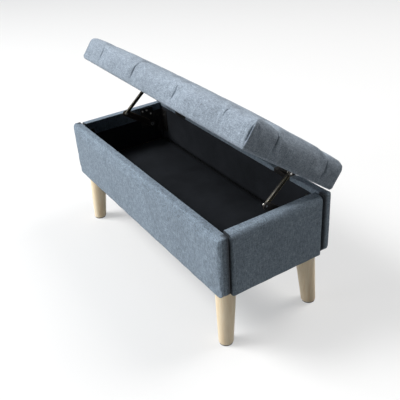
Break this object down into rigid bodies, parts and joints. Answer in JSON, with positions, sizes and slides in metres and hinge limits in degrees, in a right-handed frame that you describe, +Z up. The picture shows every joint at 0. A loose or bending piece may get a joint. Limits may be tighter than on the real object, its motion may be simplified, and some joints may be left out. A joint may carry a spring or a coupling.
{
  "type": "storage ottoman bench",
  "caption": "Upholstered storage bench: a padded box on splayed wooden legs, with a tufted lid that lifts on hinges and folding stays.",
  "frame": {"origin": "on the floor, at the centre of the overall outline seen from above with the lid open as pictured", "axes": "+X along the bench's length, +Y towards the hinged back, +Z up"},
  "size_m": [0.8, 0.3541, 0.573],
  "materials": {
    "box_fabric": "blue-grey woven melange, matt",
    "lid_fabric": "blue-grey woven melange, matt",
    "lining": "black non-woven cloth, matt",
    "board": "raw fibreboard and pine, hidden",
    "leg_wood": "pale solid wood, satin lacquer",
    "black_steel": "black semi-gloss",
    "yellow_zinc_steel": "yellow-passivated steel",
    "zinc_steel": "bright zinc",
    "glide_plastic": "black moulded"
  },
  "bodies": {
    "box": {"front_board": "board", "back_board": "board", "left_board": "board", "right_board": "board", "front_cover": "box_fabric", "back_cover": "box_fabric", "left_cover": "box_fabric", "right_cover": "box_fabric", "front_lining": "lining", "back_lining": "lining", "left_lining": "lining", "right_lining": "lining", "floor_board": "board", "floor_lining": "lining", "long_cleats": "board", "end_cleats": "board", "underside_cloth": "lining", "leg_block_front_left": "board", "leg_block_front_right": "board", "leg_block_back_left": "board", "leg_block_back_right": "board", "corner_bracket_front_left": "black_steel", "corner_bracket_front_right": "black_steel", "corner_bracket_back_left": "black_steel", "corner_bracket_back_right": "black_steel", "corner_screws": "zinc_steel", "leg_front_left": "leg_wood", "leg_front_right": "leg_wood", "leg_back_left": "leg_wood", "leg_back_right": "leg_wood", "leg_bolts": "zinc_steel", "leg_inserts": "zinc_steel", "glides": "glide_plastic", "hinge_box_leaf_left": "black_steel", "hinge_box_leaf_right": "black_steel", "hinge_pins": "zinc_steel", "hinge_box_screws": "zinc_steel", "stay_base_left": "black_steel", "stay_base_right": "black_steel", "stay_base_pins": "zinc_steel", "stay_base_screws": "zinc_steel"},
    "lid": {"lid_board": "board", "lid_cushion": "lid_fabric", "lid_lining": "lining", "hinge_lid_leaf_left": "black_steel", "hinge_lid_leaf_right": "black_steel", "hinge_lid_screws": "zinc_steel", "stay_lid_bracket_left": "black_steel", "stay_lid_bracket_right": "black_steel", "stay_lid_pins": "zinc_steel", "stay_bracket_screws": "zinc_steel"},
    "left_lever": {"stay_lever_left": "yellow_zinc_steel", "stay_elbow_pin_left": "zinc_steel"},
    "left_arm": {"stay_arm_left": "black_steel"},
    "right_lever": {"stay_lever_right": "yellow_zinc_steel", "stay_elbow_pin_right": "zinc_steel"},
    "right_arm": {"stay_arm_right": "black_steel"}
  },
  "joints": [
    {"name": "lid_hinge", "type": "hinge", "parent": "box", "child": "lid", "pos_m": [0, 0.14397, 0.332], "axis": [-1, 0, 0], "range_deg": [-36.5, 48.5]},
    {"name": "stay_lever_left", "type": "hinge", "parent": "box", "child": "left_lever", "pos_m": [-0.3535, 0.07297, 0.272], "axis": [-1, 0, 0], "range_deg": [-36.5, 48.5]},
    {"name": "stay_arm_left", "type": "hinge", "parent": "left_lever", "child": "left_arm", "pos_m": [-0.3465, -0.01542, 0.33243], "axis": [-1, 0, 0], "range_deg": [-48.5, 36.5]},
    {"name": "stay_lever_right", "type": "hinge", "parent": "box", "child": "right_lever", "pos_m": [0.3535, 0.07297, 0.272], "axis": [-1, 0, 0], "range_deg": [-36.5, 48.5]},
    {"name": "stay_arm_right", "type": "hinge", "parent": "right_lever", "child": "right_arm", "pos_m": [0.3465, -0.01542, 0.33243], "axis": [-1, 0, 0], "range_deg": [-48.5, 36.5]}
  ],
  "couplings": [
    {"joint": "stay_lever_left", "follows": "lid_hinge", "ratio": 1},
    {"joint": "stay_arm_left", "follows": "lid_hinge", "ratio": -1},
    {"joint": "stay_lever_right", "follows": "lid_hinge", "ratio": 1},
    {"joint": "stay_arm_right", "follows": "lid_hinge", "ratio": -1}
  ]
}
